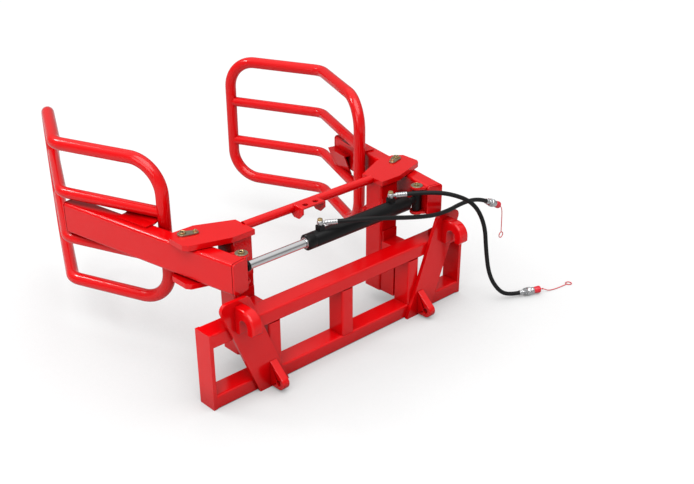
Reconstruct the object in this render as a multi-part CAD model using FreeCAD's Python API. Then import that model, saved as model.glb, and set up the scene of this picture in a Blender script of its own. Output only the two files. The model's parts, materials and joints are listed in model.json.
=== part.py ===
import FreeCAD, Part
import os
from math import sin, cos, tan, radians, hypot, atan2, asin, pi

# Round-bale grab for a front loader: hitch frame, two swinging arms with tube
# grab frames, one double-acting cylinder between the rear ends of the arms.
# X to the right seen from the tractor, Y forward to the bale, Z up, in mm.
# Everything is laid out with Y=0 on the frame's rear face and Z=0 under the
# frame, and put() moves each finished piece so that the origin lies on the
# line through the two hook pockets, half way between the hooks.

V = FreeCAD.Vector
X = V(1, 0, 0)
Y = V(0, 1, 0)
Z = V(0, 0, 1)

# hitch frame
FRAME_HALF = 627.0        # half of the frame's width
FRAME_H = 298.0
FRAME_D = 80.0            # front to back
RAIL_H = 55.0
RAIL_WALL = 5.0
CORNER = 8.0              # outer corner radius of the rails and posts
END_T = 15.0              # end plates
END_ROUND = 3.0
POST_W = 55.0
POST_IN = 321.0           # inner face of the outer posts

# hook plates on the frame's rear face
PLATE_T = 15.0
HP_IN = 305.0             # inner corner of the bottom edge
HP_W = 130.5
HP_LEAN = 158.5           # how far the top edge lies further out
HP_RISE = 100.0           # above the frame
HP_ROUND = 26.0
RIB_OFF = 19.0            # rib inward of the hook's middle
RIB_T = 10.0
RIB_RISE = 47.0
RIB_D = 56.0
RIB_FOOT = 14.0

# hooks
HOOK_X = 508.0            # middle of the hook
HOOK_T = 42.0
POCKET_R = 22.0
POCKET_RISE = 24.0        # pocket's axis above the frame
HOOK_LEG_T = 23.0         # steel between the pocket and the plate
HOOK_WALL = 33.0          # steel behind the pocket
HOOK_CROWN = 36.0         # steel above the pocket
NOSE_DROP = 23.0          # nose below the pocket's axis
NOSE_CUT = 12.0
LEG_DROP = 41.0           # leg below the pocket's axis
HOOK_SOFT = 8.0

# lower lugs
LUG_X = 375.0
LUG_T = 30.0
LUG_TOP = 108.0
LUG_BACK = 43.0           # hole behind the hook plate
LUG_Z = 35.0
LUG_R = 27.0
LUG_HOLE_R = 11.0

# uprights with their brackets
UP_IN = 314.0
UP_W = 90.0
UP_WALL = 6.0
UP_CORNER = 10.0
UP_LIFT = 7.0             # lower end above the bottom rail
BRK_D = 69.5              # from the frame to the upright
BRK_WALL = 6.0
BRK_DROP = 17.0           # bracket's top below the frame's
BRK_LEG_RISE = 43.0
BRK_LEG_SIDE = 3.0
BRK_IN = 5.0              # its sides inside the upright's

# pivot plates, given from the upright and from the pivot
PP_T = 20.0
PP_CROWN = 70.0          # its straight front edge starts this far inside the pivot
PP_IN = 5.0               # inner end past the upright
PP_BACK = 8.5             # rear edge behind the upright
PP_INNER_D = 110.0        # depth of the inner end
PP_SIDE = 50.0            # outer side from the pivot
PP_FRONT = 38.0           # front edge from the pivot
PP_REAR = 86.0            # outer rear corner from the pivot
PP_ROUND = 8.0
ARM_GAP = 2.5             # between an arm and each pivot plate

# crossbar and its bracket
BAR_R = 16.85
BAR_WALL = 4.0
BAR_FWD = 57.5            # from the upright's rear face
CB_X = -33.0              # off centre as in the photo
CB_W = 110.0
CB_T = 6.0
CB_BACK = 62.0            # rear edge from the bar's axis
CB_LIFT = 1.0             # top above the bar
CB_DROP = 48.0
CB_FOOT = 40.0
CB_ROUND = 5.0
CB_HOLE_R = 11.0
CB_HOLE_DX = 48.0
CB_HOLE_BACK = 41.0

# arms
ARM_W = 70.0
ARM_H = 120.0
ARM_WALL = 6.0
ARM_CORNER = 12.0
ARM_LEN = 850.0
ARM_SHORT = 175.0         # the right arm ends this much sooner, as in the photo
ARM_RISE = 98.0           # underside above the frame
ARM_ANGLE = 10.3          # opened outward, degrees, as in the photo
ARM_BACK = 262.2          # rear end from the pivot
CAP_T = 6.0
CAP_GROOVE = 3.0
CAP_ROUND = 2.0
PIVOT_OUT = 113.9         # from the upright's outer face
PIVOT_FWD = 124.5         # from the upright's rear face
PIVOT_R = 15.0
BUSH_WALL = 10.0
BUSH_PROUD = 1.0
RUN = 0.05                # radial running clearance
SEAT = 0.2                # radial play of a fixed pin in its plate
PIN_HEAD_T = 4.0
PIN_TAIL = 6.0
HEX_R = 11.0              # pin heads, across corners
HEX_T = 7.5
LOCK_L = 44.0             # from the pivot pin to the lock's screw
LOCK_T = 6.0
LOCK_R = 15.0
LOCK_DIR = 204.0          # seen from above, degrees from +X
SCREW_R = 5.0
SCREW_HEX_R = 9.0
SCREW_HEX_T = 6.5

# grab frames, laid out from the pivot with the arm straight ahead
LOOP_R = 24.15
LOOP_WALL = 3.2
RUNG_R = 21.2
RUNG_WALL = 3.2
LOOP_REAR = (-70.8, 161.0)
LOOP_BEND = (20.9, 603.7)
LOOP_FRONT = (-241.3, 970.5)
LOOP_RISE = 226.0         # upper tube above the arm
LOOP_DROP = 204.0         # lower tube below the arm
LOOP_CORNER = 125.0
LOOP_FOLD = 75.0          # bend radius seen from above
RUNG_ABOVE = 13.8         # between the arm and the upper rung
RUNG_BELOW = 7.8
SADDLE_T = 6.0
SADDLE_L = 150.0
SADDLE_IN = 31.0          # bent edge past the arm's side
SADDLE_RISE = 9.0
SADDLE_LAP = 43.0
SADDLE_GAP = 12.0         # behind the loop's rear tube
FOOT_L = 127.0            # folded plate from the arm's inner side to the lower rung
FOOT_Z = 72.0             # its upper edge above the arm's underside
FOOT_REACH = 32.0         # its fold past the arm's side
FOOT_END = 3.5            # its lower edge inside the arm's side
FOOT_H = 90.0

# cylinder, its pins given from the pivot with the arm straight ahead
PIN_IN = 54.9
PIN_BACK = 217.3
CYL_PIN_R = 12.5
EYE_WALL = 5.5
EAR_T = 10.0
EAR_GAP = 90.0
EAR_WALL = 12.5
EAR_FLARE = 10.0
EYE_PLAY = 2.0            # between an eye and each ear
WASHER_R = 23.0
WASHER_T = 3.0
ROD_R = 16.0
ROD_COLLAR = 3.0
BARREL_R = 30.0
BARREL_WALL = 5.0
BARREL_L = 510.0
BARREL_BACK = 59.0        # from the base pin to the barrel's end
NECK_R = 15.0
BARREL_END_T = 14.0
GLAND_L = 36.0
GLAND_SPIGOT = 40.0
GLAND_CHAMFER = 5.0
PISTON_L = 45.0
PISTON_SPARE = 8.0        # left between piston and gland when fully closed
PORT_FRONT = 72.0         # front port from the gland's face
PORT_REAR = 83.0          # rear port from the barrel's end
PORT_W = 24.0
PORT_H = 47.0
PORT_BORE_R = 5.0

# travel of the arms from the modelled pose
CLOSE_SWING = 20.0
OPEN_SWING = 15.0

# banjo fittings, hoses and what hangs on them
RING_R = 14.0
RING_H = 18.0
STEM_R = 6.0
STEM_L = 11.0
FERRULE_R = 11.0
FERRULE_L = 43.0
HOSE_R = 8.5
COUPLER_R = 17.0
COUPLER_L = 66.0
DCAP_R = 15.0
DCAP_L = 36.0
TETHER_R = 2.0
TAG_R = 12.0              # ring on the tether's end

# hose and tether runs: length, climb, heading seen from above
HOSE_RUNS = [
    [(84, 0, -31.5), (122, -10, -14), (136, -16, -2), (124, -14, 2), (92, -6, 6), (78, -1, 9), (72, -4, 3),
     (62, -15, 0), (36, -27, 1)],
    [(74, 0, -29.6), (100, -8, -31), (110, -26, -28), (110, -62, -29), (119, -84, -33), (116, -80, -30),
     (92, -58, -27), (54, -27, -25), (46, 0, -23)]]
TETHER_RUNS = [
    [(14, -34, 1), (22, -60, 2), (40, -84, 6), (66, -88, 12)],
    [(14, -8, -23), (24, -30, -22), (28, -4, -18), (36, 0, -10), (44, 0, -4)]]

# places that follow from the sizes above
BOTTOM_IN = FRAME_HALF - END_T
HOOK_PLATE_TOP = FRAME_H + HP_RISE
POCKET_Y = -PLATE_T - HOOK_LEG_T - POCKET_R
POCKET_Z = FRAME_H + POCKET_RISE
UP_OUT = UP_IN + UP_W
UP_Y = FRAME_D + BRK_D
UP_BOTTOM = RAIL_H + UP_LIFT
ARM_Z = FRAME_H + ARM_RISE
ARM_TOP = ARM_Z + ARM_H
AX_Z = ARM_Z + ARM_H / 2.0
TOP_PLATE_Z = ARM_TOP + ARM_GAP
LOW_PLATE_Z = ARM_Z - ARM_GAP - PP_T
PIVOT_X = UP_OUT + PIVOT_OUT
PIVOT_Y = UP_Y + PIVOT_FWD
BAR_Y = UP_Y + BAR_FWD
BAR_Z = TOP_PLATE_Z + PP_T / 2.0
RUNG_UP = ARM_TOP + RUNG_ABOVE + RUNG_R
RUNG_LOW = ARM_Z - RUNG_BELOW - RUNG_R
LOOP_TOP = ARM_TOP + LOOP_RISE
LOOP_BOTTOM = ARM_Z - LOOP_DROP
EAR_R = CYL_PIN_R + EAR_WALL
EYE_R = CYL_PIN_R + EYE_WALL
EYE_H = EAR_GAP - 2.0 * EYE_PLAY
BORE_R = BARREL_R - BARREL_WALL
PORT_TOP = AX_Z + PORT_H
BANJO_Z = PORT_TOP + RING_H / 2.0
ORIGIN = V(0, POCKET_Y, POCKET_Z)

os.makedirs("parts", exist_ok=True)


def put(name, shape):
    s = shape.copy()
    s.translate(ORIGIN * -1.0)
    s = s.removeSplitter() if len(s.Solids) == 1 else s
    if not s.isValid():
        print("not valid:", name)
    s.exportStep("parts/%s.step" % name)
    print("%-26s %2d solid %12.1f mm3" % (name, len(s.Solids), s.Volume))


def mirrored(shape):
    return shape.mirror(V(0, 0, 0), X)


def both(name, shape):
    put("right_" + name, shape)
    put("left_" + name, mirrored(shape))


def box(x0, x1, y0, y1, z0, z1):
    return Part.makeBox(x1 - x0, y1 - y0, z1 - z0, V(x0, y0, z0))


def cyl(r, p, axis, length):
    return Part.makeCylinder(r, length, p, axis)


def prism(points, vec):
    pts = [V(*p) for p in points]
    wire = Part.makePolygon(pts + [pts[0]])
    return Part.Face(wire).extrude(vec)


def hexagon(centre, r, height):
    pts = []
    for k in range(6):
        a = radians(60.0 * k)
        pts.append((centre.x + r * cos(a), centre.y + r * sin(a), centre.z))
    return prism(pts, V(0, 0, height))


def heading(deg):
    return V(cos(radians(deg)), sin(radians(deg)), 0)


def edges_along(shape, axis):
    found = []
    for e in shape.Edges:
        d = e.tangentAt(e.FirstParameter)
        if abs(abs(d.dot(axis)) - 1.0) < 1e-6:
            found.append(e)
    return found


def rounded(b, r, axis):
    return b.makeFillet(r, edges_along(b, axis))


def hollow(x0, x1, y0, y1, z0, z1, wall, r, axis):
    """A rounded tube, open at the two ends that face along the axis."""
    out = rounded(box(x0, x1, y0, y1, z0, z1), r, axis)
    wx = 0.0 if abs(axis.x) > 0.5 else wall
    wy = 0.0 if abs(axis.y) > 0.5 else wall
    wz = 0.0 if abs(axis.z) > 0.5 else wall
    inner = box(x0 + wx, x1 - wx, y0 + wy, y1 - wy, z0 + wz, z1 - wz)
    return out.cut(rounded(inner, max(r - wall, 1.0), axis))


def largest(shape):
    return sorted(shape.Solids, key=lambda s: -s.Volume)[0]


def fillet_points(points, radii):
    """Straight runs joined by tangent arcs, as a wire."""
    pts = [V(*p) for p in points]
    edges = []
    start = pts[0]
    for i in range(1, len(pts) - 1):
        a = (pts[i - 1] - pts[i]).normalize()
        b = (pts[i + 1] - pts[i]).normalize()
        half = a.getAngle(b) / 2.0
        r = radii[i - 1]
        t = r / tan(half)
        p0 = pts[i] + a * t
        p1 = pts[i] + b * t
        mid_dir = (a + b).normalize()
        centre = pts[i] + mid_dir * (r / sin(half))
        mid = centre - mid_dir * r
        if (p0 - start).Length > 1e-4:
            edges.append(Part.LineSegment(start, p0).toShape())
        edges.append(Part.Arc(p0, mid, p1).toShape())
        start = p1
    if (pts[-1] - start).Length > 1e-4:
        edges.append(Part.LineSegment(start, pts[-1]).toShape())
    return Part.Wire(edges)


def pipe(wire, r):
    first = wire.Edges[0]
    p = first.valueAt(first.FirstParameter)
    d = first.tangentAt(first.FirstParameter)
    ring = Part.Wire([Part.makeCircle(r, p, d)])
    return wire.makePipeShell([ring], True, False)


def tube_along(wire, r, wall):
    return pipe(wire, r).cut(pipe(wire, r - wall))


def route(start, runs):
    """Points of a hose or tether, and its wire with the bends laid in."""
    pts = [start]
    for length, climb, turn in runs:
        d = heading(turn) * cos(radians(climb)) + Z * sin(radians(climb))
        pts.append(pts[-1] + d * length)
    radii = []
    for i in range(1, len(pts) - 1):
        a = pts[i - 1] - pts[i]
        b = pts[i + 1] - pts[i]
        bend = pi - a.getAngle(b)
        radii.append(0.45 * min(a.Length, b.Length) / tan(bend / 2.0))
    return pts, radii, fillet_points([tuple(q) for q in pts], radii)


# the frame
low_rail = hollow(-BOTTOM_IN, BOTTOM_IN, 0, FRAME_D, 0, RAIL_H, RAIL_WALL, CORNER, X)
put("bottom_rail", low_rail)
high_rail = low_rail.copy()
high_rail.translate(Z * (FRAME_H - RAIL_H))
put("top_rail", high_rail)
both("end_plate", rounded(box(BOTTOM_IN, FRAME_HALF, 0, FRAME_D, 0, FRAME_H), END_ROUND, X))


def post(x0):
    return hollow(x0, x0 + POST_W, 0, FRAME_D, RAIL_H, FRAME_H - RAIL_H, RAIL_WALL, CORNER, Z)


put("centre_post", post(-POST_W / 2.0))
both("post", post(POST_IN))

# hook plates with the rib that stands on the top rail
hp_top_in = HP_IN + HP_LEAN
hp = prism([(HP_IN, 0, 0), (HP_IN + HP_W, 0, 0), (hp_top_in + HP_W, 0, HOOK_PLATE_TOP),
            (hp_top_in, 0, HOOK_PLATE_TOP)], V(0, -PLATE_T, 0))
top_edges = [e for e in edges_along(hp, Y) if e.CenterOfMass.z > HOOK_PLATE_TOP - 1]
hp = hp.makeFillet(HP_ROUND, top_edges)
rib_x = HOOK_X - RIB_OFF - RIB_T / 2.0
rib_top = FRAME_H + RIB_RISE
rib = prism([(rib_x, 0, FRAME_H), (rib_x, RIB_D, FRAME_H), (rib_x, RIB_D, FRAME_H + RIB_FOOT),
             (rib_x, RIB_FOOT, rib_top), (rib_x, 0, rib_top)], V(RIB_T, 0, 0))
both("hook_plate", hp.fuse(rib))

# hook: leg on the plate, pocket open downward, nose to the rear
hook_side = HOOK_X - HOOK_T / 2.0
out_r = POCKET_R + HOOK_WALL
hook_top = POCKET_Z + POCKET_R + HOOK_CROWN
arc_z = hook_top - out_r
nose_out = POCKET_Y - out_r
nose_in = POCKET_Y - POCKET_R
nose_z = POCKET_Z - NOSE_DROP
leg_in = POCKET_Y + POCKET_R
leg_z = POCKET_Z - LEG_DROP
q = sin(radians(45))


def yz(y, z):
    return V(hook_side, y, z)


def seg(a, b):
    return Part.LineSegment(a, b).toShape()


crown_mid = yz(POCKET_Y - out_r * q, arc_z + out_r * q)
hook_wire = Part.Wire([
    seg(yz(-PLATE_T, leg_z), yz(-PLATE_T, hook_top)),
    seg(yz(-PLATE_T, hook_top), yz(POCKET_Y, hook_top)),
    Part.Arc(yz(POCKET_Y, hook_top), crown_mid, yz(nose_out, arc_z)).toShape(),
    seg(yz(nose_out, arc_z), yz(nose_out, nose_z + NOSE_CUT)),
    seg(yz(nose_out, nose_z + NOSE_CUT), yz(nose_out + NOSE_CUT, nose_z)),
    seg(yz(nose_out + NOSE_CUT, nose_z), yz(nose_in, nose_z)),
    seg(yz(nose_in, nose_z), yz(nose_in, POCKET_Z)),
    Part.Arc(yz(nose_in, POCKET_Z), yz(POCKET_Y, POCKET_Z + POCKET_R), yz(leg_in, POCKET_Z)).toShape(),
    seg(yz(leg_in, POCKET_Z), yz(leg_in, leg_z + 4)),
    seg(yz(leg_in, leg_z + 4), yz(leg_in + 4, leg_z)),
    seg(yz(leg_in + 4, leg_z), yz(-PLATE_T, leg_z))])
hook = Part.Face(hook_wire).extrude(V(HOOK_T, 0, 0))
soft = []
for e in hook.Edges:
    c = e.CenterOfMass
    on_side = abs(c.x - hook_side) < 0.01 or abs(c.x - hook_side - HOOK_T) < 0.01
    on_crown = c.z > hook_top - 0.1 and c.y < -PLATE_T - 1
    on_back = hypot(c.y - POCKET_Y, c.z - arc_z) < out_r and c.y < nose_in and c.z > arc_z
    on_nose = abs(c.y - nose_out) < 0.1
    if on_side and (on_crown or on_back or on_nose):
        soft.append(e)
both("hook", hook.makeFillet(HOOK_SOFT, soft))

# lower lug: sloped top edge, round end with the locking hole
lug_y = -PLATE_T - LUG_BACK
lug_side = LUG_X - LUG_T / 2.0
slope = atan2(LUG_TOP - LUG_Z, LUG_BACK)
reach = hypot(LUG_TOP - LUG_Z, LUG_BACK)
touch = slope + pi / 2.0 - asin(LUG_R / reach)
touch_y = lug_y + LUG_R * cos(touch)
touch_z = LUG_Z + LUG_R * sin(touch)
lug = prism([(lug_side, -PLATE_T, LUG_TOP), (lug_side, touch_y, touch_z), (lug_side, lug_y, LUG_Z),
             (lug_side, lug_y, LUG_Z - LUG_R), (lug_side, -PLATE_T, LUG_Z - LUG_R)], V(LUG_T, 0, 0))
lug = lug.fuse(cyl(LUG_R, V(lug_side, lug_y, LUG_Z), X, LUG_T)).removeSplitter()
lug = lug.cut(cyl(LUG_HOLE_R, V(lug_side - 1, lug_y, LUG_Z), X, LUG_T + 2))
both("lug", lug)

# uprights with the brackets that carry them
up = hollow(UP_IN, UP_OUT, UP_Y, UP_Y + UP_W, UP_BOTTOM, TOP_PLATE_Z, UP_WALL, UP_CORNER, Z)
both("upright", up)
brk_top = FRAME_H - BRK_DROP
brk_in = UP_IN + BRK_IN
brk_out = UP_OUT - BRK_IN
brk = box(brk_in, brk_out, FRAME_D, UP_Y, UP_BOTTOM, brk_top)
brk = brk.cut(box(brk_in + BRK_WALL, brk_out - BRK_WALL, FRAME_D + BRK_WALL, UP_Y - BRK_WALL,
                  UP_BOTTOM - 1, brk_top - BRK_WALL))
leg = box(brk_in + BRK_LEG_SIDE, brk_out - BRK_LEG_SIDE, UP_Y - BRK_WALL, UP_Y, brk_top, brk_top + BRK_LEG_RISE)
both("upright_bracket", brk.fuse(leg))

# pivot plates
pp_rear = UP_Y - PP_BACK
pp_out = PIVOT_X + PP_SIDE
pp_front = PIVOT_Y + PP_FRONT
pp = prism([(UP_IN - PP_IN, pp_rear, 0), (UP_OUT, pp_rear, 0), (pp_out - 12, PIVOT_Y - PP_REAR, 0),
            (pp_out, PIVOT_Y - PP_REAR + 18, 0), (pp_out, pp_front - 28, 0), (pp_out - 36, pp_front, 0),
            (PIVOT_X - PP_CROWN, pp_front, 0), (UP_IN - PP_IN, pp_rear + PP_INNER_D, 0)], V(0, 0, PP_T))
sharp = [e for e in edges_along(pp, Z) if e.CenterOfMass.x > PIVOT_X - PP_CROWN - 5]
pp = pp.makeFillet(PP_ROUND, sharp)
pp = pp.cut(cyl(PIVOT_R + SEAT, V(PIVOT_X, PIVOT_Y, -1), Z, PP_T + 2))
lock_dir = heading(LOCK_DIR)
lock_x = PIVOT_X + lock_dir.x * LOCK_L
lock_y = PIVOT_Y + lock_dir.y * LOCK_L
top_pp = pp.cut(cyl(SCREW_R + SEAT, V(lock_x, lock_y, -1), Z, PP_T + 2))
top_pp.translate(Z * TOP_PLATE_Z)
low_pp = pp.copy()
low_pp.translate(Z * LOW_PLATE_Z)
low_pp = low_pp.cut(rounded(box(UP_IN, UP_OUT, UP_Y, UP_Y + UP_W, UP_BOTTOM, TOP_PLATE_Z), UP_CORNER, Z))
low_pp = largest(low_pp.cut(box(UP_IN - UP_W, UP_IN + UP_CORNER, 0, UP_Y + UP_W / 2.0, UP_BOTTOM, TOP_PLATE_Z)))
low_pp = low_pp.cut(box(UP_IN - UP_W, UP_IN, 0, UP_Y + UP_W, UP_BOTTOM, TOP_PLATE_Z))
both("top_pivot_plate", top_pp)
both("bottom_pivot_plate", low_pp)

# crossbar between the top plates, with its bracket
bar_end = UP_IN - PP_IN
bar = cyl(BAR_R, V(-bar_end, BAR_Y, BAR_Z), X, 2 * bar_end)
bar = bar.cut(cyl(BAR_R - BAR_WALL, V(-bar_end - 1, BAR_Y, BAR_Z), X, 2 * bar_end + 2))
put("crossbar", bar)
cb_top = BAR_Z + BAR_R + CB_LIFT
cb_low = cb_top - CB_DROP
cb_rear = BAR_Y - CB_BACK
cb_x0 = CB_X - CB_W / 2.0
cb_x1 = CB_X + CB_W / 2.0
sheet = box(cb_x0, cb_x1, cb_rear, BAR_Y, cb_top - CB_T, cb_top)
for side_x in (cb_x0, cb_x1 - CB_T):
    flange = prism([(side_x, BAR_Y, cb_top), (side_x, BAR_Y, cb_low + 10), (side_x, BAR_Y - 12, cb_low),
                    (side_x, BAR_Y - CB_FOOT, cb_low), (side_x, cb_rear, cb_low + 22),
                    (side_x, cb_rear, cb_top)], V(CB_T, 0, 0))
    sheet = sheet.fuse(flange)
sheet = sheet.removeSplitter()
folds = []
for e in edges_along(sheet, Y):
    c = e.CenterOfMass
    if c.z > cb_top - 0.1 and (abs(c.x - cb_x0) < 0.1 or abs(c.x - cb_x1) < 0.1):
        folds.append(e)
sheet = sheet.makeFillet(CB_ROUND, folds)
sheet = sheet.cut(cyl(BAR_R, V(cb_x0 - 1, BAR_Y, BAR_Z), X, CB_W + 2))
for s in (-1, 1):
    hole_x = CB_X + s * CB_HOLE_DX / 2.0
    sheet = sheet.cut(cyl(CB_HOLE_R, V(hole_x, BAR_Y - CB_HOLE_BACK, cb_top - CB_T - 1), Z, CB_T + 2))
put("crossbar_bracket", sheet)

# pivot pins with their lock plates
pin_low = LOW_PLATE_Z - PIN_TAIL
lock_z = TOP_PLATE_Z + PP_T
head_z = lock_z + LOCK_T
pin = cyl(PIVOT_R, V(PIVOT_X, PIVOT_Y, pin_low), Z, head_z - pin_low)
pin = pin.fuse(cyl(PIVOT_R + 2.0, V(PIVOT_X, PIVOT_Y, head_z), Z, PIN_HEAD_T))
pin = pin.fuse(hexagon(V(PIVOT_X, PIVOT_Y, head_z + PIN_HEAD_T), HEX_R, HEX_T))
both("pivot_pin", pin.removeSplitter())
lock_side = lock_dir.cross(Z)
c0 = V(PIVOT_X, PIVOT_Y, lock_z)
c1 = V(lock_x, lock_y, lock_z)
wide = PIVOT_R + 2.0
strip = prism([tuple(c0 + lock_side * wide), tuple(c1 + lock_side * LOCK_R), tuple(c1 - lock_side * LOCK_R),
               tuple(c0 - lock_side * wide)], V(0, 0, LOCK_T))
strip = strip.fuse(cyl(wide, c0, Z, LOCK_T)).fuse(cyl(LOCK_R, c1, Z, LOCK_T))
strip = strip.cut(cyl(PIVOT_R, c0 - Z, Z, LOCK_T + 2))
screw = cyl(SCREW_R, c1 - Z * PP_T, Z, PP_T + LOCK_T)
screw = screw.fuse(hexagon(c1 + Z * LOCK_T, SCREW_HEX_R, SCREW_HEX_T))
both("pin_lock", strip.fuse(screw).removeSplitter())


# arms, built straight ahead along Y from the pivot and then swung out
def swing(shape):
    s = shape.copy()
    s.rotate(V(0, 0, 0), Z, -ARM_ANGLE)
    s.translate(V(PIVOT_X, PIVOT_Y, 0))
    return s


half = ARM_W / 2.0
rear_y = -ARM_BACK
front_y = ARM_LEN - ARM_BACK
short_y = front_y - ARM_SHORT
cap_total = CAP_T + CAP_GROOVE
bush = cyl(PIVOT_R + BUSH_WALL, V(0, 0, ARM_Z - BUSH_PROUD), Z, ARM_H + 2 * BUSH_PROUD)


def arm_to(end_y):
    tube = hollow(-half, half, rear_y + cap_total, end_y - cap_total, ARM_Z, ARM_TOP, ARM_WALL, ARM_CORNER, Y)
    return tube.fuse(bush).cut(cyl(PIVOT_R + RUN, V(0, 0, ARM_Z - 5), Z, ARM_H + 10))


put("right_arm_tube", swing(arm_to(short_y)))
put("left_arm_tube", mirrored(swing(arm_to(front_y))))


def cap(y_in, direction):
    groove_y = y_in + direction * CAP_GROOVE
    out_y = groove_y + direction * CAP_T
    g = CAP_GROOVE
    neck = rounded(box(-half + g, half - g, min(y_in, groove_y), max(y_in, groove_y), ARM_Z + g, ARM_TOP - g),
                   ARM_CORNER - g, Y)
    plate = rounded(box(-half, half, min(groove_y, out_y), max(groove_y, out_y), ARM_Z, ARM_TOP), ARM_CORNER, Y)
    rim = [e for e in plate.Edges if abs(e.CenterOfMass.y - out_y) < 0.01]
    return neck.fuse(plate.makeFillet(CAP_ROUND, rim))


both("arm_rear_cap", swing(cap(rear_y + cap_total, -1)))
put("right_arm_front_cap", swing(cap(short_y - cap_total, 1)))
put("left_arm_front_cap", mirrored(swing(cap(front_y - cap_total, 1))))

# ears for the cylinder, on the arm's inner side
ear_low = AX_Z - EAR_GAP / 2.0 - EAR_T
ear_top = AX_Z + EAR_GAP / 2.0 + EAR_T
ears = []
for z in (ear_low, ear_top - EAR_T):
    wide_y = EAR_R + EAR_FLARE
    plate = prism([(-half, -PIN_BACK - wide_y, z), (-PIN_IN, -PIN_BACK - EAR_R, z),
                   (-PIN_IN, -PIN_BACK + EAR_R, z), (-half, -PIN_BACK + wide_y, z)], V(0, 0, EAR_T))
    plate = plate.fuse(cyl(EAR_R, V(-PIN_IN, -PIN_BACK, z), Z, EAR_T))
    plate = plate.cut(box(-half, half, -PIN_BACK - wide_y, -PIN_BACK + wide_y, z - 1, z + EAR_T + 1))
    plate = plate.removeSplitter().cut(cyl(CYL_PIN_R + SEAT, V(-PIN_IN, -PIN_BACK, z - 1), Z, EAR_T + 2))
    ears.append(plate)
both("cylinder_ears", swing(Part.makeCompound(ears)))


def rear_pin_at(angle):
    """Where an arm opened outward by an angle holds the right cylinder pin."""
    a = radians(angle)
    x = PIVOT_X - PIN_IN * cos(a) - PIN_BACK * sin(a)
    y = PIVOT_Y + PIN_IN * sin(a) - PIN_BACK * cos(a)
    return x, y


CYL_X, CYL_Y = rear_pin_at(ARM_ANGLE)
cpin = cyl(CYL_PIN_R, V(CYL_X, CYL_Y, ear_low - WASHER_T), Z, ear_top - ear_low + 2 * WASHER_T)
for z, d in ((ear_top, 1), (ear_low, -1)):
    low = min(z, z + d * WASHER_T)
    cpin = cpin.fuse(cyl(WASHER_R, V(CYL_X, CYL_Y, low), Z, WASHER_T))
    cpin = cpin.fuse(hexagon(V(CYL_X, CYL_Y, z + d * WASHER_T), HEX_R, HEX_T * d))
both("cylinder_pin", cpin.removeSplitter())


# grab frames: each tube follows the same fold seen from above
def folded(z):
    return [LOOP_REAR + (z,), LOOP_BEND + (z,), LOOP_FRONT + (z,)]


mid_z = (LOOP_TOP + LOOP_BOTTOM) / 2.0
rear_mid = LOOP_REAR + (mid_z,)
front_mid = LOOP_FRONT + (mid_z,)
loop_radii = [LOOP_CORNER, LOOP_FOLD, LOOP_CORNER]
upper = fillet_points([rear_mid] + folded(LOOP_TOP) + [front_mid], loop_radii)
lower = fillet_points([front_mid] + folded(LOOP_BOTTOM)[::-1] + [rear_mid], loop_radii)
loop = tube_along(upper, LOOP_R, LOOP_WALL).fuse(tube_along(lower, LOOP_R, LOOP_WALL)).removeSplitter()
solid_loop = pipe(upper, LOOP_R).fuse(pipe(lower, LOOP_R))
both("grab_loop", swing(loop))
solid_rungs = []
for name, z in (("upper_rung", RUNG_UP), ("lower_rung", RUNG_LOW)):
    path = fillet_points(folded(z), [LOOP_FOLD])
    rung = largest(tube_along(path, RUNG_R, RUNG_WALL).cut(solid_loop))
    solid_rungs.append(pipe(path, RUNG_R))
    both(name, swing(rung))

# saddles between the arm and the rungs
saddle_y = LOOP_REAR[1] + SADDLE_GAP
bent_x = -half - SADDLE_IN
bent_z = ARM_TOP + SADDLE_RISE
prof = [(SADDLE_LAP - half, ARM_TOP), (-half, ARM_TOP), (bent_x, bent_z), (bent_x, bent_z + SADDLE_T),
        (-half + 2, ARM_TOP + SADDLE_T), (SADDLE_LAP - half, ARM_TOP + SADDLE_T)]
saddle_a = prism([(x, saddle_y, z) for x, z in prof], V(0, SADDLE_L, 0))
saddle_a = largest(saddle_a.cut(solid_rungs[0]).cut(solid_loop))
foot_z = ARM_Z + FOOT_Z
fold_x = -half - FOOT_REACH
low_x = FOOT_END - half
lean = V(low_x - fold_x, 0, -FOOT_H).normalize()
inward = V(-lean.z, 0, lean.x) * SADDLE_T
fold_in = V(fold_x, 0, foot_z) + inward
fold_in = fold_in + lean * ((foot_z - SADDLE_T - fold_in.z) / lean.z)
prof = [(-half, foot_z), (fold_x, foot_z), (low_x, foot_z - FOOT_H),
        (low_x + inward.x, foot_z - FOOT_H + inward.z), (fold_in.x, fold_in.z), (-half, foot_z - SADDLE_T)]
saddle_b = prism([(x, short_y - FOOT_L, z) for x, z in prof], V(0, FOOT_L, 0))
saddle_b = largest(saddle_b.cut(solid_rungs[1]).cut(solid_loop))
both("saddles", swing(Part.makeCompound([saddle_a, saddle_b])))

# cylinder: barrel on the right arm, rod on the left arm
barrel_end = CYL_X - BARREL_BACK
gland_x = barrel_end - BARREL_L
barrel_x = gland_x + GLAND_L
tube = cyl(BARREL_R, V(barrel_x, CYL_Y, AX_Z), X, barrel_end - barrel_x)
tube = tube.cut(cyl(BORE_R, V(barrel_x - 1, CYL_Y, AX_Z), X, barrel_end - barrel_x - BARREL_END_T))
port_x = (gland_x + PORT_FRONT, barrel_end - PORT_REAR)
for x in port_x:
    boss = box(x - PORT_W / 2, x + PORT_W / 2, CYL_Y - PORT_W / 2, CYL_Y + PORT_W / 2, AX_Z, PORT_TOP)
    boss = boss.cut(cyl(BORE_R + 1, V(barrel_x, CYL_Y, AX_Z), X, barrel_end - barrel_x))
    tube = tube.fuse(boss)
    tube = tube.cut(cyl(PORT_BORE_R, V(x, CYL_Y, AX_Z), Z, PORT_H + 1))
put("barrel", tube.removeSplitter())
gland = cyl(BARREL_R, V(gland_x, CYL_Y, AX_Z), X, GLAND_L)
face_edges = [e for e in gland.Edges if abs(e.CenterOfMass.x - gland_x) < 0.01]
gland = gland.makeChamfer(GLAND_CHAMFER, face_edges)
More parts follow.
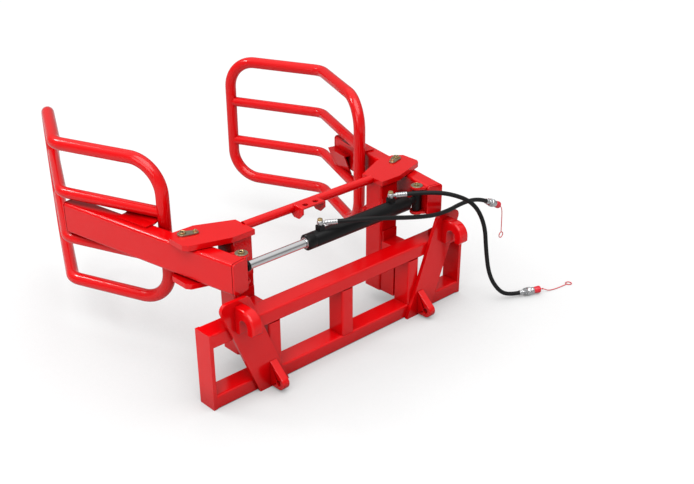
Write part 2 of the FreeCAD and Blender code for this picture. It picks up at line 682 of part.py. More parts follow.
gland = gland.fuse(cyl(BORE_R, V(barrel_x, CYL_Y, AX_Z), X, GLAND_SPIGOT))
gland = gland.cut(cyl(ROD_R + RUN, V(gland_x - 1, CYL_Y, AX_Z), X, GLAND_L + GLAND_SPIGOT + 2))
gland = gland.cut(cyl(PORT_BORE_R, V(port_x[0], CYL_Y, AX_Z), Z, PORT_H))
put("gland", gland.removeSplitter())
base = cyl(EYE_R, V(CYL_X, CYL_Y, AX_Z - EYE_H / 2.0), Z, EYE_H)
neck_l = BARREL_BACK - EYE_R + 2.0
neck = cyl(NECK_R, V(barrel_end, CYL_Y, AX_Z), X, neck_l)
base = base.fuse(neck).cut(cyl(CYL_PIN_R + RUN, V(CYL_X, CYL_Y, AX_Z - EYE_H), Z, 2 * EYE_H))
put("base_eye", base.removeSplitter())

# the piston stands so that it just clears the gland with the grab closed
stroke_out = 2.0 * (rear_pin_at(ARM_ANGLE - CLOSE_SWING)[0] - CYL_X)
stroke_in = 2.0 * (CYL_X - rear_pin_at(ARM_ANGLE + OPEN_SWING)[0])
piston_x = barrel_x + GLAND_SPIGOT + PISTON_SPARE + stroke_out
print("stroke out %.1f in %.1f, room behind the piston %.1f" % (
    stroke_out, stroke_in, barrel_end - BARREL_END_T - piston_x - PISTON_L))
rod_x = EYE_R - CYL_X
rod = cyl(ROD_R, V(rod_x, CYL_Y, AX_Z), X, piston_x - rod_x + 5)
rod = rod.fuse(cyl(BORE_R - RUN, V(piston_x, CYL_Y, AX_Z), X, PISTON_L)).removeSplitter()
collar = cyl(ROD_R + ROD_COLLAR, V(rod_x - 4, CYL_Y, AX_Z), X, 12)
reye = cyl(EYE_R, V(-CYL_X, CYL_Y, AX_Z - EYE_H / 2.0), Z, EYE_H).fuse(collar)
reye = reye.cut(cyl(CYL_PIN_R + RUN, V(-CYL_X, CYL_Y, AX_Z - EYE_H), Z, 2 * EYE_H))
rod = largest(rod.cut(reye))
reye = reye.cut(cyl(ROD_R, V(rod_x, CYL_Y, AX_Z), X, 30))
put("piston_rod", rod)
put("rod_eye", reye.removeSplitter())

# banjo fittings, hoses, couplers, and dust caps on their tethers
for n, x in enumerate(port_x):
    number = str(n + 1)
    h = heading(HOSE_RUNS[n][0][2])
    ring = cyl(RING_R, V(x, CYL_Y, PORT_TOP), Z, RING_H)
    bolt = hexagon(V(x, CYL_Y, PORT_TOP + RING_H), HEX_R, HEX_T)
    mid = V(x, CYL_Y, BANJO_Z)
    stem = cyl(STEM_R, mid + h * (RING_R - 6), h, STEM_L + 3)
    ferrule_x = RING_R - 6 + STEM_L
    ferrule = cyl(FERRULE_R, mid + h * ferrule_x, h, FERRULE_L)
    put("banjo_" + number, ring.fuse([bolt, stem, ferrule]).removeSplitter())
    pts, radii, wire = route(mid + h * (ferrule_x + FERRULE_L), HOSE_RUNS[n])
    hose = pipe(wire, HOSE_R)
    put("hose_" + number, hose)
    print("  points", [tuple(round(c, 1) for c in p - ORIGIN) for p in pts])
    print("  radii", [round(r) for r in radii], "length %.1f" % wire.Length,
          "volume ratio %.5f" % (hose.Volume / (pi * HOSE_R ** 2 * wire.Length)))
    d = (pts[-1] - pts[-2]).normalize()
    e = pts[-1]
    body = cyl(FERRULE_R, e, d, 22).fuse(cyl(13.0, e + d * 20, d, 14))
    body = body.fuse(cyl(COUPLER_R, e + d * 32, d, 22)).fuse(cyl(13.5, e + d * 52, d, COUPLER_L - 52))
    put("coupler_" + number, body.removeSplitter())
    e = e + d * COUPLER_L
    dust = cyl(DCAP_R, e, d, DCAP_L - 6).fuse(cyl(10.0, e + d * (DCAP_L - 8), d, 8))
    pts, radii, wire = route(e + d * (DCAP_L - 2), TETHER_RUNS[n])
    last = (pts[-1] - pts[-2]).normalize()
    tag = Part.makeTorus(TAG_R, TETHER_R, pts[-1] + last * TAG_R, Y if n == 0 else Z)
    dust = dust.fuse(pipe(wire, TETHER_R)).fuse(tag)
    put("dust_cap_" + number, dust.removeSplitter())
    print("  tether", [tuple(round(c, 1) for c in p - ORIGIN) for p in pts], "length %.1f" % wire.Length,
          [round(r) for r in radii])
print("pivot", round(PIVOT_X, 2), round(PIVOT_Y, 2), "cylinder pin", round(CYL_X, 2), round(CYL_Y, 2),
      "origin", tuple(ORIGIN))
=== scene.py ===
import bpy
import bmesh
import json
from math import sin, cos, acos, atan2, pi, radians
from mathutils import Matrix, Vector


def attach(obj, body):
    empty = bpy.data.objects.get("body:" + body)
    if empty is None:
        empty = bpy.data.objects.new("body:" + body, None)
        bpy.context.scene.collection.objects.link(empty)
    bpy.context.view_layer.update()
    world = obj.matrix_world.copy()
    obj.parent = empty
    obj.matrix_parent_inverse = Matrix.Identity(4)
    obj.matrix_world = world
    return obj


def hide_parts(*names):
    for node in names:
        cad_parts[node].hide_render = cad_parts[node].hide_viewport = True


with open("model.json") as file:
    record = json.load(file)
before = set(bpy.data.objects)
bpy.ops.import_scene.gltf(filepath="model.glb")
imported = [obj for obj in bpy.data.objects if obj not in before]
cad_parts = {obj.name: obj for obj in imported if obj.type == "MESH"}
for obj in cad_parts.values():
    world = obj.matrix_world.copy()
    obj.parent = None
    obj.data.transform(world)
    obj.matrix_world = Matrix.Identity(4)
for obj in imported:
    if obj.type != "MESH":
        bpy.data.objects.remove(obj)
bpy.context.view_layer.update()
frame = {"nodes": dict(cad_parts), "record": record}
nodes = frame["nodes"]
scene = bpy.context.scene

# ---------------------------------------------------------------- materials


def shader(name, color, rough, metallic=0.0, **sockets):
    m = bpy.data.materials.new(name)
    m.use_nodes = True
    nt = m.node_tree
    b = nt.nodes["Principled BSDF"]
    b.inputs["Base Color"].default_value = (*color, 1.0)
    b.inputs["Roughness"].default_value = rough
    b.inputs["Metallic"].default_value = metallic
    for key, value in sockets.items():
        b.inputs[key.replace("_", " ")].default_value = value
    return m, nt, b


def coords(nt):
    return nt.nodes.new("ShaderNodeTexCoord").outputs["Object"]


def noise(nt, scale, detail=4.0, rough=0.55, vec=None):
    n = nt.nodes.new("ShaderNodeTexNoise")
    n.inputs["Scale"].default_value = scale
    n.inputs["Detail"].default_value = detail
    n.inputs["Roughness"].default_value = rough
    nt.links.new(vec if vec is not None else coords(nt), n.inputs["Vector"])
    return n.outputs["Fac"]


def ramp(nt, fac, stops):
    r = nt.nodes.new("ShaderNodeValToRGB")
    els = r.color_ramp.elements
    els[0].position, els[0].color = stops[0][0], (*stops[0][1], 1.0)
    els[1].position, els[1].color = stops[-1][0], (*stops[-1][1], 1.0)
    for pos, col in stops[1:-1]:
        e = els.new(pos)
        e.color = (*col, 1.0)
    nt.links.new(fac, r.inputs["Fac"])
    return r.outputs["Color"]


def spread(nt, fac, low, high):
    r = nt.nodes.new("ShaderNodeMapRange")
    r.inputs["To Min"].default_value = low
    r.inputs["To Max"].default_value = high
    nt.links.new(fac, r.inputs["Value"])
    return r.outputs["Result"]


def bump(nt, b, height, strength, distance):
    n = nt.nodes.new("ShaderNodeBump")
    n.inputs["Strength"].default_value = strength
    n.inputs["Distance"].default_value = distance
    nt.links.new(height, n.inputs["Height"])
    nt.links.new(n.outputs["Normal"], b.inputs["Normal"])


def paint_corner_shade(nt, b, colour, reach, darkest, shine=(0.5, 0.5)):
    """Painted shade: colour and shine go down in corners, seams and hollows, wherever an ambient occlusion node
    finds them.
    """
    near = nt.nodes.new("ShaderNodeAmbientOcclusion")
    near.samples = 10
    near.inputs["Distance"].default_value = reach
    shade = ramp(nt, near.outputs["AO"], [(0.05, (darkest, darkest, darkest)), (0.9, (1.0, 1.0, 1.0))])
    mix = nt.nodes.new("ShaderNodeMix")
    mix.data_type = "RGBA"
    mix.blend_type = "MULTIPLY"
    mix.inputs["Factor"].default_value = 1.0
    nt.links.new(colour, mix.inputs[6])
    nt.links.new(shade, mix.inputs[7])
    nt.links.new(mix.outputs[2], b.inputs["Base Color"])
    nt.links.new(spread(nt, shade, *shine), b.inputs["Specular IOR Level"])


# red powder coat: even colour, orange peel a couple of millimetres wide
red, nt, b = shader("red_powder_coat", (0.76, 0.001, 0.003), 0.16, Specular_IOR_Level=0.5)
tone = ramp(nt, noise(nt, 3.5, 3.0), [(0.3, (0.74, 0.0006, 0.002)), (0.7, (0.78, 0.0012, 0.0035))])
# painted shade: the red's colour and shine are darkened in corners, seams and hollows
paint_corner_shade(nt, b, tone, 0.14, 0.3, (-0.1, 0.48))
nt.links.new(spread(nt, noise(nt, 14.0, 4.0), 0.12, 0.2), b.inputs["Roughness"])
bump(nt, b, noise(nt, 420.0, 2.0), 0.10, 0.0004)

# satin black enamel of the cylinder
black, nt, b = shader("black_enamel", (0.006, 0.006, 0.0065), 0.36, Specular_IOR_Level=0.2)
nt.links.new(spread(nt, noise(nt, 25.0, 5.0), 0.28, 0.4), b.inputs["Roughness"])
bump(nt, b, noise(nt, 600.0, 2.0), 0.15, 0.0003)

# hard chrome: nearly mirror, very fine grinding rings round the rod
chrome, nt, b = shader("rod_chrome", (0.74, 0.74, 0.75), 0.14, 1.0)
wave = nt.nodes.new("ShaderNodeTexWave")
wave.bands_direction = "X"
wave.inputs["Scale"].default_value = 900.0
wave.inputs["Distortion"].default_value = 1.5
nt.links.new(coords(nt), wave.inputs["Vector"])
bump(nt, b, wave.outputs["Fac"], 0.03, 0.0001)
nt.links.new(spread(nt, noise(nt, 30.0), 0.1, 0.2), b.inputs["Roughness"])

# yellow zinc: straw with patches towards rose and green
yellow, nt, b = shader("yellow_zinc", (0.6, 0.47, 0.22), 0.3, 1.0)
tint = ramp(nt, noise(nt, 60.0, 3.0), [(0.3, (0.5, 0.44, 0.26)), (0.5, (0.68, 0.52, 0.24)),
                                       (0.72, (0.62, 0.42, 0.27))])
# painted shade: the zinc's colour falls almost to black in small recesses such as bolt sockets
paint_corner_shade(nt, b, tint, 0.01, 0.01)
nt.links.new(spread(nt, noise(nt, 130.0, 4.0), 0.24, 0.4), b.inputs["Roughness"])
bump(nt, b, noise(nt, 900.0, 2.0), 0.1, 0.0002)

# passivated steel of the lock plates and washers, duller and greyer
strip_zinc, nt, b = shader("lock_plate_zinc", (0.4, 0.37, 0.27), 0.42, 1.0)
tint = ramp(nt, noise(nt, 45.0, 4.0), [(0.3, (0.30, 0.28, 0.22)), (0.7, (0.42, 0.36, 0.23))])
nt.links.new(tint, b.inputs["Base Color"])
nt.links.new(spread(nt, noise(nt, 90.0, 4.0), 0.36, 0.5), b.inputs["Roughness"])
bump(nt, b, noise(nt, 700.0, 2.0), 0.15, 0.0002)

# bright zinc of the hose fittings
zinc, nt, b = shader("bright_zinc", (0.62, 0.63, 0.64), 0.22, 1.0)
nt.links.new(spread(nt, noise(nt, 160.0, 4.0), 0.24, 0.36), b.inputs["Roughness"])
bump(nt, b, noise(nt, 900.0, 2.0), 0.08, 0.0002)

# hose cover: black rubber with the fine weave of a wrapped cure
rubber, nt, b = shader("hose_cover", (0.007, 0.007, 0.0075), 0.5, Specular_IOR_Level=0.25)
bump(nt, b, noise(nt, 1100.0, 3.0, 0.7), 0.35, 0.0004)
nt.links.new(spread(nt, noise(nt, 35.0, 4.0), 0.42, 0.58), b.inputs["Roughness"])

# moulded caps
cap_red, nt, b = shader("cap_plastic", (0.74, 0.022, 0.04), 0.36, Subsurface_Weight=0.08,
                        Subsurface_Scale=0.003)
b.inputs["Subsurface Radius"].default_value = (1.0, 0.2, 0.1)
bump(nt, b, noise(nt, 800.0, 2.0), 0.08, 0.0002)

by_slot = {"red_paint": red, "black_paint": black, "rod_chrome": chrome, "yellow_zinc": yellow,
           "bright_zinc": zinc, "hose_rubber": rubber, "red_plastic": cap_red}
for s in frame["record"]["subparts"]:
    o = nodes[s["node"]]
    o.data.materials.clear()
    o.data.materials.append(by_slot[s["material_slot"]])

# ---------------------------------------------------------------- softened edges of cut and sawn steel
EDGE = {"end_plate": 0.0012, "hook_plate": 0.002, "hook": 0.0012, "lug": 0.002, "top_pivot_plate": 0.002,
        "bottom_pivot_plate": 0.002, "cylinder_ears": 0.0015, "saddles": 0.001, "upright_bracket": 0.0015}
PLAIN_EDGE = {"crossbar_bracket": 0.0015, "barrel": 0.001, "gland": 0.001, "base_eye": 0.001,
              "rod_eye": 0.001}


def soften(o, width):
    weld = o.modifiers.new("weld", "WELD")
    weld.merge_threshold = 0.00001
    bevel = o.modifiers.new("edge", "BEVEL")
    bevel.width = width
    bevel.segments = 2
    bevel.limit_method = "ANGLE"
    bevel.angle_limit = radians(40)
    bevel.use_clamp_overlap = True
    bevel.harden_normals = False


for side in ("right_", "left_"):
    for part, width in EDGE.items():
        soften(nodes[side + part], width)
for part, width in PLAIN_EDGE.items():
    soften(nodes[part], width)

# ---------------------------------------------------------------- mesh tools


def add_mesh(name, bm, mat, body, sharp=35.0, stands_for=()):
    bmesh.ops.recalc_face_normals(bm, faces=bm.faces)
    me = bpy.data.meshes.new(name)
    bm.to_mesh(me)
    bm.free()
    me.shade_smooth()
    me.set_sharp_from_angle(angle=radians(sharp))
    me.materials.append(mat)
    o = bpy.data.objects.new(name, me)
    scene.collection.objects.link(o)
    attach(o, body)
    if stands_for:
        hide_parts(*stands_for)
    return o


def axes(direction):
    d = Vector(direction).normalized()
    u = d.orthogonal().normalized()
    if abs(d.z) < 0.999:
        u = Vector((0, 0, 1)).cross(d).normalized()
    return d, u, d.cross(u)


def mm(profile):
    return [(s / 1000.0, r / 1000.0) for s, r in profile]


def lathe(bm, origin, direction, profile, n=48, closed=False, flute=None):
    """Turns a profile of (along, radius) pairs about a line; a radius of 0 closes that end."""
    d, u, w = axes(direction)
    o = Vector(origin)
    rings = []
    for s, r in profile:
        if r < 1e-9:
            rings.append([bm.verts.new(o + d * s)])
            continue
        ring = []
        for k in range(n):
            t = 2 * pi * k / n
            rr = r
            if flute and flute[0] <= s <= flute[1]:
                rr -= flute[3] * (0.5 - 0.5 * cos(flute[2] * t))
            ring.append(bm.verts.new(o + d * s + (u * cos(t) + w * sin(t)) * rr))
        rings.append(ring)
    pairs = list(zip(rings, rings[1:]))
    if closed:
        pairs.append((rings[-1], rings[0]))
    for a, c in pairs:
        for k in range(n):
            j = (k + 1) % n
            if len(a) == 1 and len(c) == 1:
                continue
            if len(a) == 1:
                bm.faces.new((a[0], c[k], c[j]))
            elif len(c) == 1:
                bm.faces.new((a[k], c[0], a[j]))
            else:
                bm.faces.new((a[k], c[k], c[j], a[j]))


EASE = 0.0006            # eased edges of turned and pressed pieces
NO_LIMIT = 9.0           # the hexagon's corners are left whole


def hex_head(bm, origin, direction, flats, length, recess=0.0, depth=0.0, turn=0.0):
    """Hex head with chamfered corners and, where asked, a socket with a hexagon in it."""
    d, u, w = axes(direction)
    o = Vector(origin)
    n = 72
    inner = flats / 2.0

    def ring(s, limit, size=None):
        vs = []
        for k in range(n):
            a = 2 * pi * k / n
            near = (a + turn) % (pi / 3) - pi / 6
            r = min((size or inner) / cos(near), limit)
            vs.append(bm.verts.new(o + d * s + (u * cos(a) + w * sin(a)) * r))
        return vs

    def circle(s, r):
        turns = [2 * pi * k / n for k in range(n)]
        return [bm.verts.new(o + d * s + (u * cos(t) + w * sin(t)) * r) for t in turns]

    rings = [ring(0.0, NO_LIMIT), ring(length * 0.8, inner * 1.16), ring(length * 0.95, inner * 1.05),
             circle(length, inner * 0.98)]
    if recess > 0:
        key = recess * 0.84
        rings += [circle(length, recess + EASE), circle(length - EASE, recess),
                  ring(length - 2 * EASE, NO_LIMIT, key), ring(length - depth, NO_LIMIT, key)]
    for a, c in zip(rings, rings[1:]):
        for k in range(n):
            j = (k + 1) % n
            bm.faces.new((a[k], c[k], c[j], a[j]))
    bm.faces.new(rings[0][::-1])
    bm.faces.new(rings[-1])


def washer(bm, origin, direction, radius, thick, bore):
    lathe(bm, origin, direction, [(EASE, radius), (thick - EASE, radius), (thick, radius - EASE), (thick, bore),
                                  (0.0, bore), (0.0, radius - EASE)], 64, True)


def socket(bm, origin, direction, radius, top, bottom):
    """Painted shade: a black lining inside a bolt's socket darkens the recess."""
    wall = 0.0004
    lathe(bm, origin, direction, [(bottom, 0.0), (bottom, radius), (top, radius), (top, radius - wall),
                                  (bottom + wall, radius - wall), (bottom + wall, 0.0)], 36)


Z = Vector((0, 0, 1))

# ---------------------------------------------------------------- pivot pins and their lock plates
PIVOT = Vector((0.5179, 0.334, 0.0))
PIN_LOW, LOCK_Z, LOCK_T = 0.0455, 0.2165, 0.006
LOCK_L, LOCK_DIR = 0.044, radians(204.0)
SCREW_WASHER = 0.0016


def outline_strip(a, c, ra, rc, n=20):
    """Outline round two circles joined by their tangents."""
    run = c - a
    angle = atan2(run.y, run.x)
    off = acos((ra - rc) / run.length)
    pts = []
    for k in range(n + 1):
        t = angle + off + (2 * pi - 2 * off) * k / n
        pts.append(a + Vector((cos(t), sin(t), 0)) * ra)
    for k in range(n + 1):
        t = angle - off + 2 * off * k / n
        pts.append(c + Vector((cos(t), sin(t), 0)) * rc)
    return pts


def plate(bm, outline, z0, z1, ease=0.0007):
    """Flat plate with its edges eased on both faces."""
    mid = sum(outline, Vector()) / len(outline)
    rows = []
    for z, inset in ((z0, ease), (z0 + ease, 0.0), (z1 - ease, 0.0), (z1, ease)):
        row = []
        for p in outline:
            q = p - (p - mid).normalized() * inset
            row.append(bm.verts.new((q.x, q.y, z)))
        rows.append(row)
    n = len(outline)
    for a, c in zip(rows, rows[1:]):
        for k in range(n):
            j = (k + 1) % n
            bm.faces.new((a[k], c[k], c[j], a[j]))
    bm.faces.new(rows[0][::-1])
    bm.faces.new(rows[-1])


for side, sx in (("right", 1), ("left", -1)):
    p = Vector((PIVOT.x * sx, PIVOT.y, 0))
    top = LOCK_Z + LOCK_T
    bm = bmesh.new()
    lathe(bm, p + Z * PIN_LOW, Z, mm([(0, 0), (0, 13.6), (1.4, 15), (1000 * (top - PIN_LOW), 15)]), 64)
    hex_head(bm, p + Z * top, Z, 0.0225, 0.0062, 0.0078, 0.0058, radians(12))
    add_mesh("pin_" + side, bm, yellow, "hitch_frame", stands_for=[side + "_pivot_pin"])
    q = p + Vector((cos(LOCK_DIR) * sx, sin(LOCK_DIR), 0)) * LOCK_L
    bm = bmesh.new()
    plate(bm, outline_strip(p, q, 0.0185, 0.0125), LOCK_Z, top)
    add_mesh("pin_lock_strip_" + side, bm, strip_zinc, "hitch_frame",
             stands_for=[side + "_pin_lock"])
    bm = bmesh.new()
    lathe(bm, q + Z * (LOCK_Z - 0.02), Z, mm([(0, 0), (0, 4.2), (0.8, 5), (26, 5)]), 32)
    lathe(bm, q + Z * top, Z, mm([(0, 0), (0, 8.6), (0.4, 9), (1.2, 9), (1.6, 8.6), (1.6, 0)]), 48)
    hex_head(bm, q + Z * (top + SCREW_WASHER), Z, 0.0145, 0.0045, 0.0045, 0.0038)
    add_mesh("pin_lock_screw_" + side, bm, yellow, "hitch_frame",
             stands_for=[side + "_pin_lock"])
    # painted shade: black linings darken the sockets of the pin and lock screw heads
    bm = bmesh.new()
    socket(bm, p + Z * top, Z, 0.0067, 0.0056, 0.0003)
    socket(bm, q + Z * (top + SCREW_WASHER), Z, 0.0037, 0.0040, 0.0006)
    add_mesh("pin_socket_shade_" + side, bm, black, "hitch_frame", stands_for=[side + "_pivot_pin"])

# ---------------------------------------------------------------- cylinder pins
CYL_X, CYL_Y = 0.425031, 0.130018
EAR_LOW, EAR_TOP = 0.079, 0.189
WASHER_R, WASHER_T, BOLT_R = 0.023, 0.003, 0.0125
for side, sx in (("right", 1), ("left", -1)):
    p = Vector((CYL_X * sx, CYL_Y, 0))
    bm = bmesh.new()
    lathe(bm, p + Z * (EAR_LOW - WASHER_T), Z, mm([(0, 0), (0, 12.5), (116, 12.5), (116, 0)]), 64)
    for z, up, recess in ((EAR_TOP, 1, 0.007), (EAR_LOW, -1, 0.0)):
        hex_head(bm, p + Z * (z + up * WASHER_T), Z * up, 0.0205, 0.0055, recess, 0.0052, radians(8))
    add_mesh("cylinder_bolt_" + side, bm, yellow, side + "_arm",
             stands_for=[side + "_cylinder_pin"])
    bm = bmesh.new()
    for z, up in ((EAR_TOP, 1), (EAR_LOW, -1)):
        washer(bm, p + Z * z, Z * up, WASHER_R, WASHER_T, BOLT_R)
    add_mesh("cylinder_washers_" + side, bm, strip_zinc, side + "_arm",
             stands_for=[side + "_cylinder_pin"])
    # painted shade: a black lining darkens the cylinder bolt's socket
    bm = bmesh.new()
    socket(bm, p + Z * (EAR_TOP + WASHER_T), Z, 0.006, 0.0049, 0.0003)
    add_mesh("cylinder_bolt_socket_shade_" + side, bm, black, side + "_arm",
             stands_for=[side + "_cylinder_pin"])

# ---------------------------------------------------------------- hose fittings on the barrel
PORT_Z = 0.181
BANJO_Z = 0.190
PORTS = ((-0.07197, -31.5), (0.28303, -29.6))
CRIMPS = [(19, 6.2), (19, 8.8), (20, 9.7), (27, 9.8), (28, 9.3), (30, 9.3), (31, 9.8), (36, 9.8), (37, 9.2),
          (39, 9.2), (40, 9.8), (45, 9.8), (46, 9.2), (48, 9.2), (49, 9.7), (55, 9.7), (56, 9.2), (58, 9.2),
          (59, 10.0), (61.2, 10.0), (62, 9.4), (62, 8.5)]
EYE = [(0, 0), (0, 9.2), (0.8, 9.9), (1.6, 9.9), (2.2, 9.2), (2.2, 10.4), (3.4, 11.3), (9, 11.7), (14.6, 11.3),
       (15.8, 10.4), (15.8, 9.4), (16.4, 10.0), (17.4, 10.0), (18, 9.4), (18, 0)]
STEM = [(8, 0), (8, 6.6), (13.5, 6.2), (16.5, 5.4), (17.6, 7.0), (19.4, 7.0), (20, 6.2), (20, 0)]
for i, (x, turn) in enumerate(PORTS):
    num = str(i + 1)
    p = Vector((x, CYL_Y, PORT_Z))
    h = Vector((cos(radians(turn)), sin(radians(turn)), 0))
    bm = bmesh.new()
    lathe(bm, p, Z, mm(EYE), 56)
    mid = Vector((x, CYL_Y, BANJO_Z))
    lathe(bm, mid, h, mm(STEM), 40)
    lathe(bm, mid, h, mm([(19, 0)] + CRIMPS + [(61, 0)]), 48, False, (0.0195, 0.0605, 8, 0.0003))
    add_mesh("banjo_eye_" + num, bm, zinc, "barrel_body", stands_for=["banjo_" + num])
    bm = bmesh.new()
    hex_head(bm, p + Z * 0.018, Z, 0.0168, 0.0075, 0.0, 0.0, radians(20 + 9 * i))
    add_mesh("banjo_bolt_" + num, bm, yellow, "barrel_body", stands_for=["banjo_" + num])

# bright wiper ring where the rod leaves the gland
GLAND_X, ROD_Z = -0.14397, 0.134
WIPER = [(-1, 16.1), (-1, 20.5), (1.0, 20.5), (1.8, 19.7), (2.4, 17.2), (2.4, 16.1)]
bm = bmesh.new()
lathe(bm, (GLAND_X, CYL_Y, ROD_Z), (-1, 0, 0), mm(WIPER), 72, True)
add_mesh("rod_wiper", bm, zinc, "barrel_body")

# ---------------------------------------------------------------- hoses, couplers, caps on their tethers
HOSE_D = 0.017
ROUTES = [
    [(-0.0191, 0.0976, 0.1900), (0.0525, 0.0537, 0.1900), (0.1691, 0.0247, 0.1688), (0.2997, 0.0201, 0.1313),
     (0.4200, 0.0243, 0.1013), (0.5110, 0.0339, 0.0917), (0.5880, 0.0461, 0.0904), (0.6597, 0.0498, 0.0853),
     (0.7196, 0.0498, 0.0693), (0.7517, 0.0504, 0.0529)],
    [(0.3369, 0.0994, 0.1900), (0.4013, 0.0628, 0.1900), (0.4862, 0.0118, 0.1761), (0.5735, -0.0346, 0.1279),
     (0.6186, -0.0596, 0.0307), (0.6291, -0.0664, -0.0876), (0.6465, -0.0765, -0.2018),
     (0.6899, -0.0986, -0.2799), (0.7335, -0.1189, -0.3044), (0.7759, -0.1369, -0.3044)]]
TETHER_D = 0.0036
TETHERS = [
    [(0.8408, 0.0519, 0.0075), (0.8524, 0.0521, -0.0003), (0.8634, 0.0525, -0.0193),
     (0.8675, 0.0530, -0.0591), (0.8698, 0.0534, -0.1251)],
    [(0.8679, -0.1760, -0.3044), (0.8807, -0.1814, -0.3063), (0.9000, -0.1892, -0.3183),
     (0.9265, -0.1978, -0.3203), (0.9620, -0.2041, -0.3203), (1.0059, -0.2071, -0.3203)]]


def spline_curve(name, points, radius, mat):
    cu = bpy.data.curves.new(name, "CURVE")
    cu.dimensions = "3D"
    cu.bevel_depth = radius
    cu.bevel_resolution = 8
    cu.use_fill_caps = True
    sp = cu.splines.new("NURBS")
    sp.points.add(len(points) - 1)
    for p, co in zip(sp.points, points):
        p.co = (*co, 1.0)
    sp.order_u = 3
    sp.use_endpoint_u = True
    sp.resolution_u = 24
    cu.materials.append(mat)
    o = bpy.data.objects.new(name, cu)
    scene.collection.objects.link(o)
    return o


def ring_tube(bm, centre, normal, major, minor, n=48, m=12):
    d, u, w = axes(normal)
    rows = []
    for k in range(n):
        t = 2 * pi * k / n
        out = u * cos(t) + w * sin(t)
        rows.append([bm.verts.new(Vector(centre) + out * (major + minor * cos(2 * pi * j / m))
                                  + d * minor * sin(2 * pi * j / m)) for j in range(m)])
    for k in range(n):
        a, c = rows[k], rows[(k + 1) % n]
        for j in range(m):
            i = (j + 1) % m
            bm.faces.new((a[j], c[j], c[i], a[i]))


FERRULE = [(0, 8.2), (0, 10.3), (0.8, 11), (2.6, 11), (3.4, 9.9), (5, 9.9), (6, 10.6), (10, 10.6), (11, 9.9),
           (13, 9.9), (14, 10.6), (19, 10.6), (20, 9.6), (22, 9.4), (22, 0)]
SLEEVE = [(33, 0), (33, 12.2), (34, 15.6), (35.2, 16.6), (38, 16.8), (38.6, 16.0), (40, 16.0), (40.6, 16.8),
          (50, 16.8), (51.4, 16.2), (52, 14.6), (53, 13.4), (54.5, 12.9), (56, 13.5), (65, 13.5), (66, 12.9),
          (66, 0)]
CAP = [(0, 0), (0, 12.2), (0.6, 12.9), (3, 13.1), (3.6, 12.7), (5.2, 12.9), (8, 13.6), (18, 14.5), (25, 14.9),
       (27.5, 14.4), (29.3, 12.9), (30, 10.6), (30.4, 6.0), (31.4, 3.8), (33, 2.9), (36, 2.5), (36, 0)]
BEAD_R = 0.0034
RING_R, RING_WIRE_R = 0.012, 0.0019
for i in (0, 1):
    num = str(i + 1)
    pts = ROUTES[i]
    end = Vector(pts[-1])
    d = (end - Vector(pts[-2])).normalized()
    bm = bmesh.new()
    lathe(bm, end, d, mm([(0, 0)] + FERRULE), 48, False, (0.0035, 0.0195, 8, 0.0007))
    hex_head(bm, end + d * 0.0215, d, 0.027, 0.0118)
    lathe(bm, end, d, mm(SLEEVE), 96, False, (0.0402, 0.0502, 30, 0.0009))
    coupler = add_mesh("coupling_" + num, bm, zinc, "barrel_body",
                       stands_for=["coupler_" + num])
    bm = bmesh.new()
    lathe(bm, end + d * 0.066, d, mm(CAP), 64, False, (0.006, 0.026, 20, 0.0005))
    start, onward = Vector(TETHERS[i][0]), Vector(TETHERS[i][1])
    bead = start + (onward - start).normalized() * 0.0095
    half_round = [(-BEAD_R * cos(pi * k / 10), BEAD_R * sin(pi * k / 10)) for k in range(11)]
    lathe(bm, bead, onward - start, half_round, 24)
    plug = add_mesh("dust_plug_" + num, bm, cap_red, "barrel_body",
                    stands_for=["dust_cap_" + num])
    last = (Vector(TETHERS[i][-1]) - Vector(TETHERS[i][-2])).normalized()
    bm = bmesh.new()
    upright = (0, 1, 0) if i == 0 else (0, 0, 1)
    ring_tube(bm, Vector(TETHERS[i][-1]) + last * RING_R, upright, RING_R, RING_WIRE_R)
    loop = add_mesh("tether_ring_" + num, bm, cap_red, "barrel_body",
                    stands_for=["dust_cap_" + num])
    hose = spline_curve("hose_tube_" + num, pts, HOSE_D / 2, rubber)
    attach(hose, "barrel_body")
    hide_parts("hose_" + num)
    tether = spline_curve("tether_" + num, TETHERS[i], TETHER_D / 2, cap_red)
    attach(tether, "barrel_body")
    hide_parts("dust_cap_" + num)

# ---------------------------------------------------------------- stage


def floor_material():
    m = bpy.data.materials.new("floor")
    m.use_nodes = True
    nt = m.node_tree
    nt.nodes.clear()
    out = nt.nodes.new("ShaderNodeOutputMaterial")
    diff = nt.nodes.new("ShaderNodeBsdfDiffuse")
    glow = nt.nodes.new("ShaderNodeEmission")
    path = nt.nodes.new("ShaderNodeLightPath")
    seen = nt.nodes.new("ShaderNodeMath")
    seen.operation = "MAXIMUM"
    nt.links.new(path.outputs["Is Camera Ray"], seen.inputs[0])
    nt.links.new(path.outputs["Is Transmission Ray"], seen.inputs[1])
    # seen by the camera, most of the floor's light is a white glow, and its soft contact shadow is painted
    # shadow: the glow dimmed near the object
    nt.links.new(ramp(nt, seen.outputs[0], [(0.0, (0.48, 0.48, 0.48)), (1.0, (0.22, 0.22, 0.22))]),
                 diff.inputs["Color"])
    # painted shadow: an ambient occlusion node dims the camera-seen glow near the object
    near = nt.nodes.new("ShaderNodeAmbientOcclusion")
    near.samples = 24
    near.inputs["Distance"].default_value = 0.9
    gain = nt.nodes.new("ShaderNodeMath")
    gain.operation = "MULTIPLY"
    nt.links.new(seen.outputs[0], gain.inputs[0])
    nt.links.new(spread(nt, near.outputs["AO"], 0.12, 0.785), gain.inputs[1])
    nt.links.new(gain.outputs[0], glow.inputs["Strength"])
    add = nt.nodes.new("ShaderNodeAddShader")
    nt.links.new(diff.outputs[0], add.inputs[0])
    nt.links.new(glow.outputs[0], add.inputs[1])
    nt.links.new(add.outputs[0], out.inputs["Surface"])
    return m


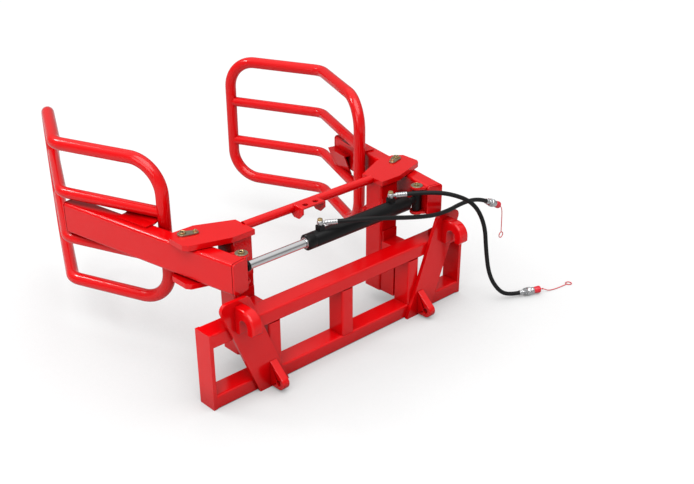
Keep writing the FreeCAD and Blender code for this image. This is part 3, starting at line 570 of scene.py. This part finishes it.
FLOOR_Z = -0.3221
me = bpy.data.meshes.new("floor")
size = 30.0
corners = [(x * size, y * size, FLOOR_Z) for x, y in ((-1, -1), (1, -1), (1, 1), (-1, 1))]
me.from_pydata(corners, [], [(0, 1, 2, 3)])
me.materials.append(floor_material())
floor = bpy.data.objects.new("floor", me)
scene.collection.objects.link(floor)

# white dome: pure white to the camera, even and dimmer for diffuse light, darker low down for reflections
world = bpy.data.worlds.new("studio")
scene.world = world
world.use_nodes = True
nt = world.node_tree
bg = nt.nodes["Background"]
path = nt.nodes.new("ShaderNodeLightPath")
tc = nt.nodes.new("ShaderNodeTexCoord")
sep = nt.nodes.new("ShaderNodeSeparateXYZ")
nt.links.new(tc.outputs["Generated"], sep.inputs[0])
mirror = ramp(nt, sep.outputs["Z"], [(0.0, (0.3, 0.3, 0.3)), (0.45, (0.28, 0.28, 0.28)),
                                     (0.62, (0.7, 0.7, 0.7)), (1.0, (1.0, 1.0, 1.0))])
soft = nt.nodes.new("ShaderNodeMix")
soft.data_type = "FLOAT"
nt.links.new(path.outputs["Is Glossy Ray"], soft.inputs["Factor"])
soft.inputs["A"].default_value = 0.45
nt.links.new(mirror, soft.inputs["B"])
mix = nt.nodes.new("ShaderNodeMix")
mix.data_type = "FLOAT"
nt.links.new(path.outputs["Is Camera Ray"], mix.inputs["Factor"])
nt.links.new(soft.outputs["Result"], mix.inputs["A"])
mix.inputs["B"].default_value = 1.0
bg.inputs["Color"].default_value = (1, 1, 1, 1)
nt.links.new(mix.outputs["Result"], bg.inputs["Strength"])


def area(name, place, target, size, power):
    li = bpy.data.lights.new(name, "AREA")
    li.shape = "RECTANGLE"
    li.size, li.size_y = size
    li.energy = power
    o = bpy.data.objects.new(name, li)
    o.location = place
    o.rotation_mode = "QUATERNION"
    o.rotation_quaternion = (Vector(target) - Vector(place)).to_track_quat("-Z", "Y")
    scene.collection.objects.link(o)
    return o


sun = bpy.data.lights.new("overhead", "SUN")
sun.energy = 2.15
sun.angle = radians(55)
o = bpy.data.objects.new("overhead", sun)
o.rotation_euler = (radians(20), radians(-14), 0)
scene.collection.objects.link(o)
area("front_box", (-2.2, 3.2, 3.2), (-0.2, 0.4, 0.1), (0.7, 0.7), 42.0)
area("side_box", (-3.2, -0.4, 1.7), (0, 0.3, 0), (2.4, 1.6), 27.0)

# ---------------------------------------------------------------- camera
AIM = Vector((0.0, 0.060, -0.102))
AZ, EL, DIST = radians(-42.99), radians(28.89), 3.82936
WIDE, FOCAL, OFF_X, OFF_Y = 694.0, 1038.14, -1.27, 52.94      # pixels of the photo
back = Vector((sin(AZ) * cos(EL), -cos(AZ) * cos(EL), sin(EL)))
cam_data = bpy.data.cameras.new("camera")
cam_data.sensor_width = 36.0
cam_data.sensor_fit = "HORIZONTAL"
cam_data.lens = FOCAL / WIDE * cam_data.sensor_width
cam_data.shift_x = OFF_X / WIDE
cam_data.shift_y = OFF_Y / WIDE
cam_data.clip_start = 0.05
cam_data.clip_end = 100.0
cam = bpy.data.objects.new("camera", cam_data)
cam.rotation_mode = "QUATERNION"
cam.location = AIM + back * DIST
cam.rotation_quaternion = (-back).to_track_quat("-Z", "Y")
scene.collection.objects.link(cam)
scene.camera = cam

scene.view_settings.view_transform = "Standard"
